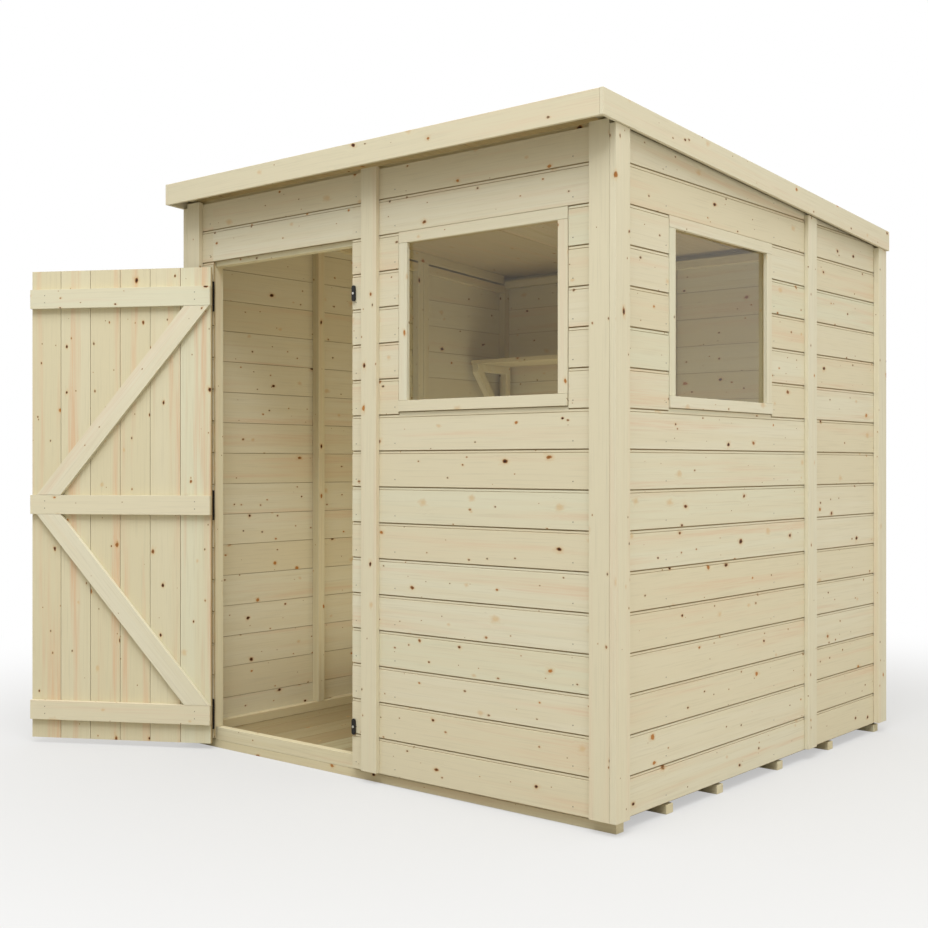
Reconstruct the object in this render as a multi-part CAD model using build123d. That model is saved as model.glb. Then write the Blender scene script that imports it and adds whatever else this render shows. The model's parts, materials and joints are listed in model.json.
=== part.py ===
from build123d import *
import math
import os

os.makedirs("parts", exist_ok=True)

# The ground plan, measured over the outer faces of the cladding
shed_width = 1832.0
shed_depth = 1838.0

# Timber sections
cladding_thickness = 12.0
frame_depth = 34.0
frame_face = 34.0
bearer_height = 28.0
bearer_width = 38.0
floor_thickness = 12.0

# Heights above the ground, and the fall of the roof to the back
cladding_foot = 36.0
roof_top_front = 2022.0
roof_pitch = 3.5

# Roof, battens and fascia boards
roof_board_thickness = 9.0
felt_thickness = 2.0
batten_height = 40.0
rail_to_batten_gap = 8.0
fascia_height = 74.0
fascia_thickness = 12.0
overhang_front = 80.0
overhang_side = 18.0
overhang_back = 15.0

# Bearers under the floor, measured back from the front of the frame
bearer_recess = 17.0
bearer_gaps = (226.0, 261.0, 370.0, 357.0)

# Panels of the walls: where two panels meet
front_panel_joint = 0.0
side_panel_joint = 1222.0
panel_gap = 1.0
side_middle_post = 611.0

# Doorway and door
doorway_left = 126.0
doorway_beside = 213.0
door_gap_hinge = 6.0
door_gap_free = 7.0
door_foot = 21.0
door_board_thickness = 12.0
door_open_angle = 150.0
door_head_below_roof = 280.0
head_rail_drop = 14.0
door_head_clearance = 6.0
sill_height = 46.0
ledge_height = 70.0
ledge_thickness = 18.0
ledge_inset = 68.0
brace_cut_width = 94.0
brace_inset_hinge = 4.0
brace_inset_free = 25.0

# Tee hinges
leaf_thickness = 3.0
knuckle_radius = 4.5
pin_radius = 2.5
pin_clearance = 0.1
leaf_height = 107.0
leaf_width = 27.0
strap_knuckle_height = 58.0
knuckle_gap = 0.6
web_overlap = 1.0
strap_length = 300.0
strap_root_height = 44.0
strap_tip_height = 18.0

# Turn buttons that hold the door shut
button_length = 52.0
button_width = 16.0
button_thickness = 4.0
button_standoff = 3.0
button_edge_distance = 10.0
button_screw_radius = 2.2
button_screw_head_radius = 4.2
button_screw_head_height = 1.8
button_screw_clearance = 0.2
button_low_height = 171.0
button_below_door_top = 152.0

# Windows
window_width = 648.0
window_height = 562.0
window_below_roof = 277.0
window_border = 35.0
window_proud = 2.0
window_off_centre = 1.0
window_side_front = 296.0
window_sill_proud = 12.0
window_sill_height = 34.0
glass_thickness = 3.0
glass_set_back = 14.0

# Corner boards and strips over the panel joints
corner_board_width = 68.0
corner_board_thickness = 18.0
side_board_thickness = 22.0
side_board_width = 54.0
corner_foot = 37.0
strip_width = 68.0
strip_thickness = 16.0
strip_fascia_gap = 1.0

# Shelf on the back wall
shelf_top = 1490.0
shelf_thickness = 18.0
shelf_depth = 281.0
bracket_section = 34.0
bracket_inset = 8.5
bracket_leg = 300.0

# Planes that follow from the sizes above
half_width = shed_width / 2
front_face = -(bearer_recess + bearer_width / 2)
back_face = front_face + shed_depth
frame_front = front_face + cladding_thickness
frame_back = back_face - cladding_thickness
frame_side = half_width - cladding_thickness
inner_front = frame_front + frame_depth
inner_back = frame_back - frame_depth
inner_side = frame_side - frame_depth
floor_top = bearer_height + floor_thickness
rail_top = bearer_height + sill_height
slope = math.tan(math.radians(roof_pitch))


def roof_top(y):
    """Height of the finished roof above the ground at depth y."""
    return roof_top_front - (y - front_face) * slope


def roof_underside(y):
    """Underside of the roof boards."""
    return roof_top(y) - (roof_board_thickness + felt_thickness) / math.cos(math.radians(roof_pitch))


def batten_underside(y):
    """Underside of the roof battens, on which the posts end."""
    return roof_underside(y) - batten_height


def rail_topside(y):
    """Top of the rails and of the cladding, just under the battens."""
    return batten_underside(y) - rail_to_batten_gap


def block(x0, x1, y0, y1, z0, z1):
    """A timber with square ends between two corners."""
    size = (x1 - x0, y1 - y0, z1 - z0)
    middle = ((x0 + x1) / 2, (y0 + y1) / 2, (z0 + z1) / 2)
    return Pos(*middle) * Box(*size)


def side_profile(x0, x1, outline):
    """A piece with the same outline all along X, given as points in Y and Z."""
    face = make_face(Plane.YZ.offset(x0) * Polyline(*outline, close=True))
    return extrude(face, amount=x1 - x0, dir=(1, 0, 0))


def sloped(x0, x1, y0, y1, z0, top):
    """A timber that stands on z0 and is cut to the roof's slope by the height function top."""
    return side_profile(x0, x1, [(y0, z0), (y1, z0), (y1, top(y1)), (y0, top(y0))])


def sloped_band(x0, x1, y0, y1, top, height):
    """A timber of even height that lies along the roof's slope."""
    corners = [(y0, top(y0) - height), (y1, top(y1) - height), (y1, top(y1)), (y0, top(y0))]
    return side_profile(x0, x1, corners)


def mirrored(piece):
    """The same piece on the other side of the shed."""
    return piece.mirror(Plane.YZ)


def turned_about_hinge(piece):
    """A door piece, drawn closed, swung open about the hinge line."""
    hinge_line = Axis((hinge_x, hinge_y, 0), (0, 0, 1))
    return piece.rotate(hinge_line, -door_open_angle)


def save(node, *pieces):
    """Write the solids of one node."""
    solids = [solid for piece in pieces for solid in piece.solids()]
    export_step(Compound(children=solids), "parts/" + node + ".step")


# Floor: six bearers across the shed and the boards on them
bearer_fronts = [front_face + bearer_recess]
for gap in bearer_gaps:
    bearer_fronts.append(bearer_fronts[-1] + bearer_width + gap)
bearer_fronts.append(frame_back - bearer_width)
bearers = [
    block(-half_width, half_width, y, y + bearer_width, 0, bearer_height)
    for y in bearer_fronts
]
save("floor_bearers", *bearers)
floor_boards = block(-frame_side, frame_side, inner_front, frame_back, bearer_height, floor_top)
save("floor_boards", floor_boards)

# Doorway and its place in the front wall
door_left = -half_width + doorway_left
doorway_width = shed_width / 2 - doorway_beside
door_right = door_left + doorway_width
door_width = doorway_width - door_gap_hinge - door_gap_free
door_head = roof_top_front - door_head_below_roof
head_rail_foot = door_head - head_rail_drop
door_top = head_rail_foot - door_head_clearance
button_high_height = door_top - button_below_door_top
sill_front = front_face + bearer_recess

# Windows: the outer edges of the frames
front_window_space = half_width - corner_board_width - front_panel_joint - strip_width / 2
front_window_gap = (front_window_space - window_width) / 2 + window_off_centre
front_window_left = front_panel_joint + strip_width / 2 + front_window_gap
front_window_right = front_window_left + window_width
side_window_front = front_face + window_side_front
side_window_back = side_window_front + window_width
window_top = roof_top_front - window_below_roof
window_foot = window_top - window_height

# Front wall frame
sill = block(-frame_side, frame_side, sill_front, inner_front, bearer_height, rail_top)
front_top_foot = batten_underside(inner_front) - frame_face
front_top_rail = sloped(-frame_side, frame_side, frame_front, inner_front, front_top_foot, batten_underside)
joint_x = front_panel_joint
front_post_edges = [
    -frame_side,
    door_left - frame_face,
    door_right,
    joint_x - panel_gap / 2 - frame_face,
    joint_x + panel_gap / 2,
    front_window_left - frame_face,
    front_window_right,
    frame_side - frame_face,
]
front_posts = [
    block(x, x + frame_face, frame_front, inner_front, rail_top, front_top_foot)
    for x in front_post_edges
]
save("front_posts", *front_posts)
head_rail_top = head_rail_foot + frame_face
door_head_rail = block(door_left, door_right, frame_front, inner_front, head_rail_foot, head_rail_top)
save("front_rails", sill, front_top_rail, door_head_rail)

# Side wall frames
panel_y = front_face + side_panel_joint
side_post_edges = [
    inner_front,
    front_face + side_middle_post - frame_face / 2,
    panel_y - panel_gap / 2 - frame_face,
    panel_y + panel_gap / 2,
    frame_back - frame_face,
]
side_bottom_rail = block(inner_side, frame_side, inner_front, frame_back, floor_top, rail_top)


def side_posts(edges):
    """Posts of a side wall, from the bottom rail up to the batten."""
    return [
        sloped(inner_side, frame_side, y, y + frame_face, rail_top, batten_underside)
        for y in edges
    ]


def side_top_rails(edges):
    """Top rails of a side wall, one between each pair of posts."""
    rails = []
    for start, end in zip(edges[:-1], edges[1:]):
        if end - start > 2 * frame_face:
            rails.append(
                sloped_band(inner_side, frame_side, start + frame_face, end, rail_topside, frame_face)
            )
    return rails


left_rails = [side_bottom_rail, *side_top_rails(side_post_edges)]
save("left_rails", *[mirrored(rail) for rail in left_rails])
save("left_posts", *[mirrored(post) for post in side_posts(side_post_edges)])
right_post_edges = [
    inner_front,
    side_window_front - frame_face,
    side_window_back,
    panel_y - panel_gap / 2 - frame_face,
    panel_y + panel_gap / 2,
    frame_back - frame_face,
]
save("right_rails", side_bottom_rail, *side_top_rails(right_post_edges))
save("right_posts", *side_posts(right_post_edges))

# Back wall frame, between the corner posts of the side walls
back_rail_span = inner_side
back_rail_foot = batten_underside(frame_back)
back_top_rail = block(
    -back_rail_span,
    back_rail_span,
    inner_back,
    frame_back,
    back_rail_foot - frame_face / 2,
    back_rail_foot + frame_face / 2,
)
back_bottom_rail = block(-back_rail_span, back_rail_span, inner_back, frame_back, floor_top, rail_top)
save("back_rails", back_top_rail, back_bottom_rail)
back_posts = [
    block(x, x + frame_face, inner_back, frame_back, rail_top, back_rail_foot - frame_face / 2)
    for x in (joint_x - panel_gap / 2 - frame_face, joint_x + panel_gap / 2)
]
save("back_posts", *back_posts)

# Cladding of the front wall, round the doorway and the window
front_skin = (front_face, frame_front)
cladding_top_front = rail_topside(front_face)
cladding_left = block(-half_width, door_left, *front_skin, cladding_foot, cladding_top_front)
save("front_cladding_left", cladding_left)
cladding_over = block(door_left, door_right, *front_skin, door_head, cladding_top_front)
save("front_cladding_over_door", cladding_over)
cladding_right = block(door_right, half_width, *front_skin, cladding_foot, cladding_top_front)
front_window_hole = block(front_window_left, front_window_right, *front_skin, window_foot, window_top)
save("front_cladding_right", cladding_right - front_window_hole)

# Cladding of the side walls, in a front and a back panel
side_front_panel = sloped(frame_side, half_width, frame_front, panel_y, cladding_foot, rail_topside)
side_back_panel = sloped(frame_side, half_width, panel_y, frame_back, cladding_foot, rail_topside)
side_window_hole = block(
    frame_side, half_width, side_window_front, side_window_back, window_foot, window_top
)
save("right_cladding_front", side_front_panel - side_window_hole)
save("right_cladding_back", side_back_panel)
save("left_cladding_front", mirrored(side_front_panel))
save("left_cladding_back", mirrored(side_back_panel))

# Cladding of the back wall
cladding_top_back = rail_topside(back_face)
back_left = block(-half_width, joint_x, frame_back, back_face, cladding_foot, cladding_top_back)
save("back_cladding_left", back_left)
back_right = block(joint_x, half_width, frame_back, back_face, cladding_foot, cladding_top_back)
save("back_cladding_right", back_right)


def fascia_foot(y):
    """Lower edge of the fascia boards."""
    return roof_top(y) - fascia_height


# Boards over the corners: the side boards lap the edges of the front and back ones
corner_front = sloped(
    half_width - corner_board_width,
    half_width,
    front_face - corner_board_thickness,
    front_face,
    corner_foot,
    rail_topside,
)
save("front_corner_boards", corner_front, mirrored(corner_front))
corner_back = sloped(
    half_width - corner_board_width,
    half_width,
    back_face,
    back_face + corner_board_thickness,
    corner_foot,
    fascia_foot,
)
save("back_corner_boards", corner_back, mirrored(corner_back))
side_board_x = (half_width, half_width + side_board_thickness)
side_board_front = sloped(
    *side_board_x,
    front_face - corner_board_thickness,
    front_face + side_board_width,
    corner_foot,
    fascia_foot,
)
side_board_back = sloped(
    *side_board_x,
    back_face - side_board_width,
    back_face + corner_board_thickness,
    corner_foot,
    fascia_foot,
)
save(
    "side_corner_boards",
    side_board_front,
    side_board_back,
    mirrored(side_board_front),
    mirrored(side_board_back),
)

# Strips that cover the joints between the panels
strip_front = sloped(
    joint_x - strip_width / 2,
    joint_x + strip_width / 2,
    front_face - strip_thickness,
    front_face,
    corner_foot,
    rail_topside,
)
strip_back = sloped(
    joint_x - strip_width / 2,
    joint_x + strip_width / 2,
    back_face,
    back_face + overhang_back - strip_fascia_gap,
    corner_foot,
    fascia_foot,
)
strip_side = sloped(
    half_width,
    half_width + strip_thickness,
    panel_y - strip_width / 2,
    panel_y + strip_width / 2,
    corner_foot,
    fascia_foot,
)
save("panel_joint_strips", strip_front, strip_back, strip_side, mirrored(strip_side))

# Window in the front wall: a flat frame in the cladding, glass and a sill
frame_reach = (front_face - window_proud, frame_front)
front_frame = block(
    front_window_left, front_window_right, *frame_reach, window_foot, window_top
) - block(
    front_window_left + window_border,
    front_window_right - window_border,
    *frame_reach,
    window_foot,
    window_top - window_border,
)
save("front_window_frame", front_frame)
glass_left = front_window_left + window_border
glass_right = front_window_right - window_border
sill_top = window_foot + window_sill_height
pane_top = window_top - window_border
front_sill = block(
    glass_left, glass_right, front_face - window_sill_proud, inner_front, window_foot, sill_top
)
save("front_window_sill", front_sill)
glass_front = front_face + glass_set_back
front_glass = block(
    glass_left, glass_right, glass_front, glass_front + glass_thickness, sill_top, pane_top
)
save("front_window_glass", front_glass)

# Window in the right wall, made the same way
side_reach = (frame_side, half_width + window_proud)
side_frame = block(
    *side_reach, side_window_front, side_window_back, window_foot, window_top
) - block(
    *side_reach,
    side_window_front + window_border,
    side_window_back - window_border,
    window_foot,
    window_top - window_border,
)
save("side_window_frame", side_frame)
pane_front = side_window_front + window_border
pane_back = side_window_back - window_border
side_sill = block(
    inner_side, half_width + window_sill_proud, pane_front, pane_back, window_foot, sill_top
)
save("side_window_sill", side_sill)
side_glass_x = half_width - glass_set_back
side_glass = block(
    side_glass_x - glass_thickness, side_glass_x, pane_front, pane_back, sill_top, pane_top
)
save("side_window_glass", side_glass)

# Roof: boards and felt in one plane that falls to the back
roof_edge = half_width + overhang_side
roof_front = front_face - overhang_front
roof_back = back_face + overhang_back
cos_pitch = math.cos(math.radians(roof_pitch))


def felt_underside(y):
    """Top of the roof boards."""
    return roof_top(y) - felt_thickness / cos_pitch


roof_boards = sloped_band(
    -roof_edge, roof_edge, roof_front, roof_back, felt_underside, roof_board_thickness / cos_pitch
)
save("roof_boards", roof_boards)
roof_felt = sloped_band(
    -roof_edge, roof_edge, roof_front, roof_back, roof_top, felt_thickness / cos_pitch
)
save("roof_felt", roof_felt)
side_batten = sloped_band(
    inner_side, frame_side, roof_front, inner_back, roof_underside, batten_height
)
save("roof_battens", side_batten, mirrored(side_batten))

# Fascia boards: the side ones run past the ends of the front and back ones
front_fascia = block(
    -roof_edge,
    roof_edge,
    roof_front - fascia_thickness,
    roof_front,
    roof_top(roof_front) - fascia_height,
    roof_top(roof_front),
)
save("front_fascia", front_fascia)
back_fascia = block(
    -roof_edge,
    roof_edge,
    roof_back,
    roof_back + fascia_thickness,
    roof_top(roof_back) - fascia_height,
    roof_top(roof_back),
)
save("back_fascia", back_fascia)
right_fascia = sloped_band(
    roof_edge,
    roof_edge + fascia_thickness,
    roof_front - fascia_thickness,
    roof_back + fascia_thickness,
    roof_top,
    fascia_height,
)
save("right_fascia", right_fascia)
save("left_fascia", mirrored(right_fascia))

# Shelf across the left half of the back wall, on two triangular brackets
shelf_left = -inner_side
shelf_right = joint_x - frame_face
shelf_front = frame_back - shelf_depth
shelf_foot = shelf_top - shelf_thickness
shelf = block(shelf_left, shelf_right, shelf_front, inner_back, shelf_foot, shelf_top)
save("shelf_board", shelf)
bracket_front = shelf_front + bracket_inset
bracket_foot = shelf_foot - bracket_leg


def shelf_bracket(x0):
    """A triangle of three timbers: arm under the shelf, leg on the wall, and the slanting strut."""
    outer = [
        (bracket_front, shelf_foot),
        (inner_back, shelf_foot),
        (inner_back, bracket_foot),
        (inner_back - bracket_section, bracket_foot),
        (bracket_front, shelf_foot - bracket_section),
    ]
    arm_foot = shelf_foot - bracket_section
    leg_front = inner_back - bracket_section
    run = leg_front - bracket_front
    fall = arm_foot - bracket_foot
    strut_drop = bracket_section * math.hypot(run, fall) / run
    strut_shift = strut_drop * run / fall
    hole = [
        (bracket_front + strut_shift, arm_foot),
        (leg_front, arm_foot),
        (leg_front, bracket_foot + strut_drop),
    ]
    solid = side_profile(x0, x0 + bracket_section, outer)
    return solid - side_profile(x0, x0 + bracket_section, hole)


save(
    "shelf_brackets",
    shelf_bracket(shelf_left),
    shelf_bracket(shelf_right - bracket_section),
)

# Door, drawn shut in the doorway: six boards, three ledges and two braces
hinge_x = door_left + door_gap_hinge
hinge_y = front_face - knuckle_radius
door_edge = door_left + door_gap_hinge
door_free = door_edge + door_width
door_back = front_face + door_board_thickness
door_boards = block(door_edge, door_free, front_face, door_back, door_foot, door_top)
save("door_boards", turned_about_hinge(door_boards))
ledge_feet = [
    door_foot + ledge_inset,
    (door_foot + door_top - ledge_height) / 2,
    door_top - ledge_inset - ledge_height,
]
ledge_y = (door_back, door_back + ledge_thickness)
ledges = [
    block(door_edge, door_free, *ledge_y, foot, foot + ledge_height)
    for foot in ledge_feet
]
save("door_ledges", *[turned_about_hinge(ledge) for ledge in ledges])


def brace(hinge_z, free_z):
    """A slanting brace between two ledges, cut level where it meets them."""
    corners = [
        (door_edge + brace_inset_hinge, hinge_z),
        (door_edge + brace_inset_hinge + brace_cut_width, hinge_z),
        (door_free - brace_inset_free, free_z),
        (door_free - brace_inset_free - brace_cut_width, free_z),
    ]
    face = make_face(Plane.XZ.offset(-ledge_y[0]) * Polyline(*corners, close=True))
    return extrude(face, amount=ledge_thickness, dir=(0, 1, 0))


upper_brace = brace(ledge_feet[2], ledge_feet[1] + ledge_height)
lower_brace = brace(ledge_feet[0] + ledge_height, ledge_feet[1])
save("door_braces", turned_about_hinge(upper_brace), turned_about_hinge(lower_brace))

# Tee hinges: a leaf on the wall and a tapered strap on the outside of the door
hinge_heights = [foot + ledge_height / 2 for foot in ledge_feet]


def hinge_leaf(z):
    """The wall side: a flat leaf, two outer knuckles and the pin."""
    half = leaf_height / 2
    inner = strap_knuckle_height / 2 + knuckle_gap
    leaf = block(
        hinge_x - knuckle_radius - leaf_width,
        hinge_x - knuckle_radius - pin_clearance,
        front_face - leaf_thickness,
        front_face,
        z - half,
        z + half,
    )
    solid = leaf
    for low, high in ((z - half, z - inner), (z + inner, z + half)):
        web = block(
            hinge_x - knuckle_radius - web_overlap,
            hinge_x,
            front_face - leaf_thickness,
            front_face,
            low,
            high,
        )
        solid = solid + web + Pos(hinge_x, hinge_y, (low + high) / 2) * Cylinder(knuckle_radius, high - low)
    pin = Pos(hinge_x, hinge_y, z) * Cylinder(pin_radius, leaf_height)
    return solid + pin


def hinge_strap(z):
    """The door side: the middle knuckle and a strap that tapers to a round tip."""
    half = strap_knuckle_height / 2
    tip = hinge_x + strap_length
    outline = Polyline(
        (hinge_x, z - strap_root_height / 2),
        (tip, z - strap_tip_height / 2),
        (tip, z + strap_tip_height / 2),
        (hinge_x, z + strap_root_height / 2),
        close=True,
    )
    face = make_face(Plane.XZ.offset(-front_face) * outline)
    strap = extrude(face, amount=leaf_thickness, dir=(0, -1, 0))
    round_tip = Pos(tip, front_face - leaf_thickness / 2, z) * Rot(90, 0, 0) * Cylinder(
        strap_tip_height / 2, leaf_thickness
    )
    knuckle = Pos(hinge_x, hinge_y, z) * Cylinder(knuckle_radius, 2 * half)
    bore = Pos(hinge_x, hinge_y, z) * Cylinder(pin_radius + pin_clearance, 2 * half)
    return strap + round_tip + knuckle - bore


save("hinge_leaves", *[hinge_leaf(z) for z in hinge_heights])
save("hinge_straps", *[turned_about_hinge(hinge_strap(z)) for z in hinge_heights])

# Turn buttons on the right of the doorway, each on its own screw
button_x = door_right + button_edge_distance
button_back = front_face - button_standoff
button_front = button_back - button_thickness


def on_wall(x, y, z):
    """Turns a round piece so that its axis points out of the front wall."""
    return Pos(x, y, z) * Rot(90, 0, 0)


def turn_button(z):
    """A flat bar with round ends, upright when it lets the door go."""
    bar = on_wall(button_x, (button_back + button_front) / 2, z) * extrude(
        Rot(0, 0, 90) * SlotOverall(button_length, button_width), amount=button_thickness / 2, both=True
    )
    hole = on_wall(button_x, (button_back + button_front) / 2, z) * Cylinder(
        button_screw_radius + button_screw_clearance, button_thickness
    )
    return bar - hole


def button_screw(z):
    """The screw with the washer under the button."""
    length = button_standoff + button_thickness + button_screw_clearance
    shank = on_wall(button_x, front_face - length / 2, z) * Cylinder(button_screw_radius, length)
    head_y = front_face - length - button_screw_head_height / 2
    head = on_wall(button_x, head_y, z) * Cylinder(button_screw_head_radius, button_screw_head_height)
    washer_thickness = button_standoff - button_screw_clearance
    washer = on_wall(button_x, front_face - washer_thickness / 2, z) * Cylinder(
        button_screw_head_radius, washer_thickness
    )
    return shank + head + washer


save("turn_button_low", turn_button(button_low_height))
save("turn_button_high", turn_button(button_high_height))
save("button_screws", button_screw(button_low_height), button_screw(button_high_height))
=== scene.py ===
import json
import math
import random

import bpy
from mathutils import Matrix, Vector


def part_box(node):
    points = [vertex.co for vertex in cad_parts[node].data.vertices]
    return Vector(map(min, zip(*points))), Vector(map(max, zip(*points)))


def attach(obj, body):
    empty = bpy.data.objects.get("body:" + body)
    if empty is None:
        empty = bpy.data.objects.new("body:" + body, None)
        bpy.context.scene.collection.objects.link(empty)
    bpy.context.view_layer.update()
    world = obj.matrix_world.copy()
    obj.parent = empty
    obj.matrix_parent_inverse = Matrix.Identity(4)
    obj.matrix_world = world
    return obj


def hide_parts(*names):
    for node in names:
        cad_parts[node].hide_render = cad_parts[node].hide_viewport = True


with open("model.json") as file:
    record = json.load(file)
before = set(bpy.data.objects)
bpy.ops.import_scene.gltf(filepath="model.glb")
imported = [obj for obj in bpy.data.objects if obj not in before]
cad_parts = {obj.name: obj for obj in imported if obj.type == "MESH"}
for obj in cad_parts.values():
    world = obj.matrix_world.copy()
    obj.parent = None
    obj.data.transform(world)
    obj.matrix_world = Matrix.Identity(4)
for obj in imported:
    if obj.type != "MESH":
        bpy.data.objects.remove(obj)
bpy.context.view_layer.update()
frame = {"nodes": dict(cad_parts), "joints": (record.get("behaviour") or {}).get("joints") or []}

# The camera stands out from the front right corner at half the shed's height, and
# looks level at the near corner.
camera_place = (2.8745, -3.0038, 1.019)
camera_turn = 40.0
camera_lens = 50.06
camera_sensor = 36.0

camera_data = bpy.data.cameras.new("camera")
camera_data.lens = camera_lens
camera_data.sensor_width = camera_sensor
camera = bpy.data.objects.new("camera", camera_data)
camera.location = camera_place
camera.rotation_euler = (math.radians(90), 0, math.radians(camera_turn))
bpy.context.scene.collection.objects.link(camera)
bpy.context.scene.camera = camera
bpy.context.scene.view_settings.view_transform = "Standard"


# The studio is a white room with a pale floor that turns to white away from the
# shed. Its light is warm and low at the horizon and grows towards the zenith. A wide
# soft lamp stands high in front, a weak one low on the right, and one on the shed's
# floor shines up at the roof. Each lamp has its name, place, aim, width, power, colour.
room_light_low = 0.3
room_light_high = 1.2
horizon_colour = (1.0, 0.91, 0.74, 1.0)
zenith_colour = (1.0, 1.0, 1.0, 1.0)
zenith_rise = 0.6
floor_middle = (0.0, 0.9, 0.0)
floor_corners = 96
floor_reach = 40.0
floor_pale = (0.51, 0.5, 0.475, 1.0)
floor_bounce = (0.44, 0.415, 0.36, 1.0)
floor_glow = 0.91
floor_glow_share = 0.5
floor_fade_start = 1.0
floor_fade_end = 4.2
floor_roughness = 0.9
floor_shine = 0.1
lamps = (
    ("front_lamp", (2.2, -2.9, 8.1), (0.0, 0.9, 1.1), 5.0, 592.0, (1.0, 1.035, 1.09)),
    ("side_lamp", (5.2, 0.6, 1.6), (0.9, 0.9, 1.5), 2.0, 34.0, (1.0, 0.97, 0.92)),
    ("inside_lamp", (0.1, 1.0, 0.12), (0.1, 1.0, 2.0), 1.1, 9.0, (1.0, 0.92, 0.72)),
)


def add(tree, kind, inputs=None, **settings):
    """Put one shader node in a tree; an input is a value or another node's socket."""
    node = tree.nodes.new(kind)
    for name, value in settings.items():
        setattr(node, name, value)
    for name, value in (inputs or {}).items():
        if isinstance(value, bpy.types.NodeSocket):
            tree.links.new(value, node.inputs[name])
        else:
            node.inputs[name].default_value = value
    return node


def figure(tree, operation, first, second=0.0):
    """The result of one sum on two numbers."""
    node = add(tree, "ShaderNodeMath", {0: first, 1: second}, operation=operation)
    return node.outputs[0]


def fade(tree, value, low, high, start=0.0, end=1.0):
    """Turn value's run from low to high into a smooth run from start to end."""
    inputs = {"Value": value, "From Min": low, "From Max": high, "To Min": start, "To Max": end}
    return add(tree, "ShaderNodeMapRange", inputs, interpolation_type="SMOOTHSTEP").outputs[0]


def blend(tree, share, under, over):
    """One colour laid over another by share."""
    inputs = {0: share, 6: under, 7: over}
    return add(tree, "ShaderNodeMix", inputs, data_type="RGBA").outputs[2]


def colour(red, green, blue):
    """A colour as a screen shows it, 0 to 255, in the shader's own numbers."""
    parts = [part / 255 for part in (red, green, blue)]
    return [*[((part + 0.055) / 1.055) ** 2.4 for part in parts], 1.0]


world = bpy.data.worlds.new("studio")
world.use_nodes = True
bpy.context.scene.world = world
room = world.node_tree
light_path = add(room, "ShaderNodeLightPath")
camera_ray = light_path.outputs["Is Camera Ray"]
glossy_ray = light_path.outputs["Is Glossy Ray"]
transmission_ray = light_path.outputs["Is Transmission Ray"]
seen = figure(room, "MAXIMUM", camera_ray, glossy_ray)
seen = figure(room, "MAXIMUM", seen, transmission_ray)
sky = add(room, "ShaderNodeTexCoord").outputs["Generated"]
sky_rise = add(room, "ShaderNodeSeparateXYZ", {0: sky}).outputs["Z"]
sky_light = fade(room, sky_rise, low=0.0, high=1.0, start=room_light_low, end=room_light_high)
sky_light = figure(room, "MAXIMUM", sky_light, seen)
sky_white = fade(room, sky_rise, low=0.0, high=zenith_rise)
sky_white = figure(room, "MAXIMUM", sky_white, seen)
sky_colour = blend(room, sky_white, horizon_colour, zenith_colour)
background = room.nodes["Background"]
room.links.new(sky_colour, background.inputs["Color"])
room.links.new(sky_light, background.inputs["Strength"])

bpy.ops.object.select_all(action="DESELECT")
bpy.ops.mesh.primitive_circle_add(
    vertices=floor_corners, radius=floor_reach, fill_type="NGON", location=floor_middle
)
studio_floor = bpy.context.object
studio_floor.name = "studio_floor"
floor_paint = bpy.data.materials.new("studio_floor")
floor_paint.use_nodes = True
floor_tree = floor_paint.node_tree
floor_shader = floor_tree.nodes["Principled BSDF"]
floor_seen = add(floor_tree, "ShaderNodeLightPath").outputs["Is Camera Ray"]
floor_colour = blend(floor_tree, floor_seen, floor_bounce, floor_pale)
floor_tree.links.new(floor_colour, floor_shader.inputs["Base Color"])
floor_shader.inputs["Roughness"].default_value = floor_roughness
floor_shader.inputs["Specular IOR Level"].default_value = floor_shine
floor_place = add(floor_tree, "ShaderNodeTexCoord").outputs["Object"]
distance = add(floor_tree, "ShaderNodeVectorMath", {0: floor_place}, operation="LENGTH")
far = fade(floor_tree, distance.outputs["Value"], low=floor_fade_start, high=floor_fade_end)
far = fade(floor_tree, far, low=0.0, high=1.0, start=floor_glow_share, end=1.0)
near_white = (floor_glow, floor_glow, floor_glow, 1.0)
glow_colour = blend(floor_tree, far, near_white, (1.0, 1.0, 1.0, 1.0))
glow = add(floor_tree, "ShaderNodeEmission", {"Strength": 1.0, "Color": glow_colour})
floor_share = figure(floor_tree, "MULTIPLY", far, floor_seen)
floor_layers = {0: floor_share, 1: floor_shader.outputs[0], 2: glow.outputs[0]}
floor_mix = add(floor_tree, "ShaderNodeMixShader", floor_layers)
floor_tree.links.new(floor_mix.outputs[0], floor_tree.nodes["Material Output"].inputs["Surface"])
studio_floor.data.materials.append(floor_paint)

for lamp_name, lamp_place, lamp_aim, lamp_width, lamp_power, lamp_colour in lamps:
    lamp_data = bpy.data.lights.new(lamp_name, "AREA")
    lamp_data.size = lamp_width
    lamp_data.energy = lamp_power
    lamp_data.color = lamp_colour
    lamp = bpy.data.objects.new(lamp_name, lamp_data)
    lamp.location = lamp_place
    lamp_axis = Vector(lamp_place) - Vector(lamp_aim)
    lamp.rotation_euler = lamp_axis.to_track_quat("Z", "Y").to_euler()
    lamp.visible_camera = False
    lamp.visible_glossy = False
    lamp.visible_transmission = False
    bpy.context.scene.collection.objects.link(lamp)


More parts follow.
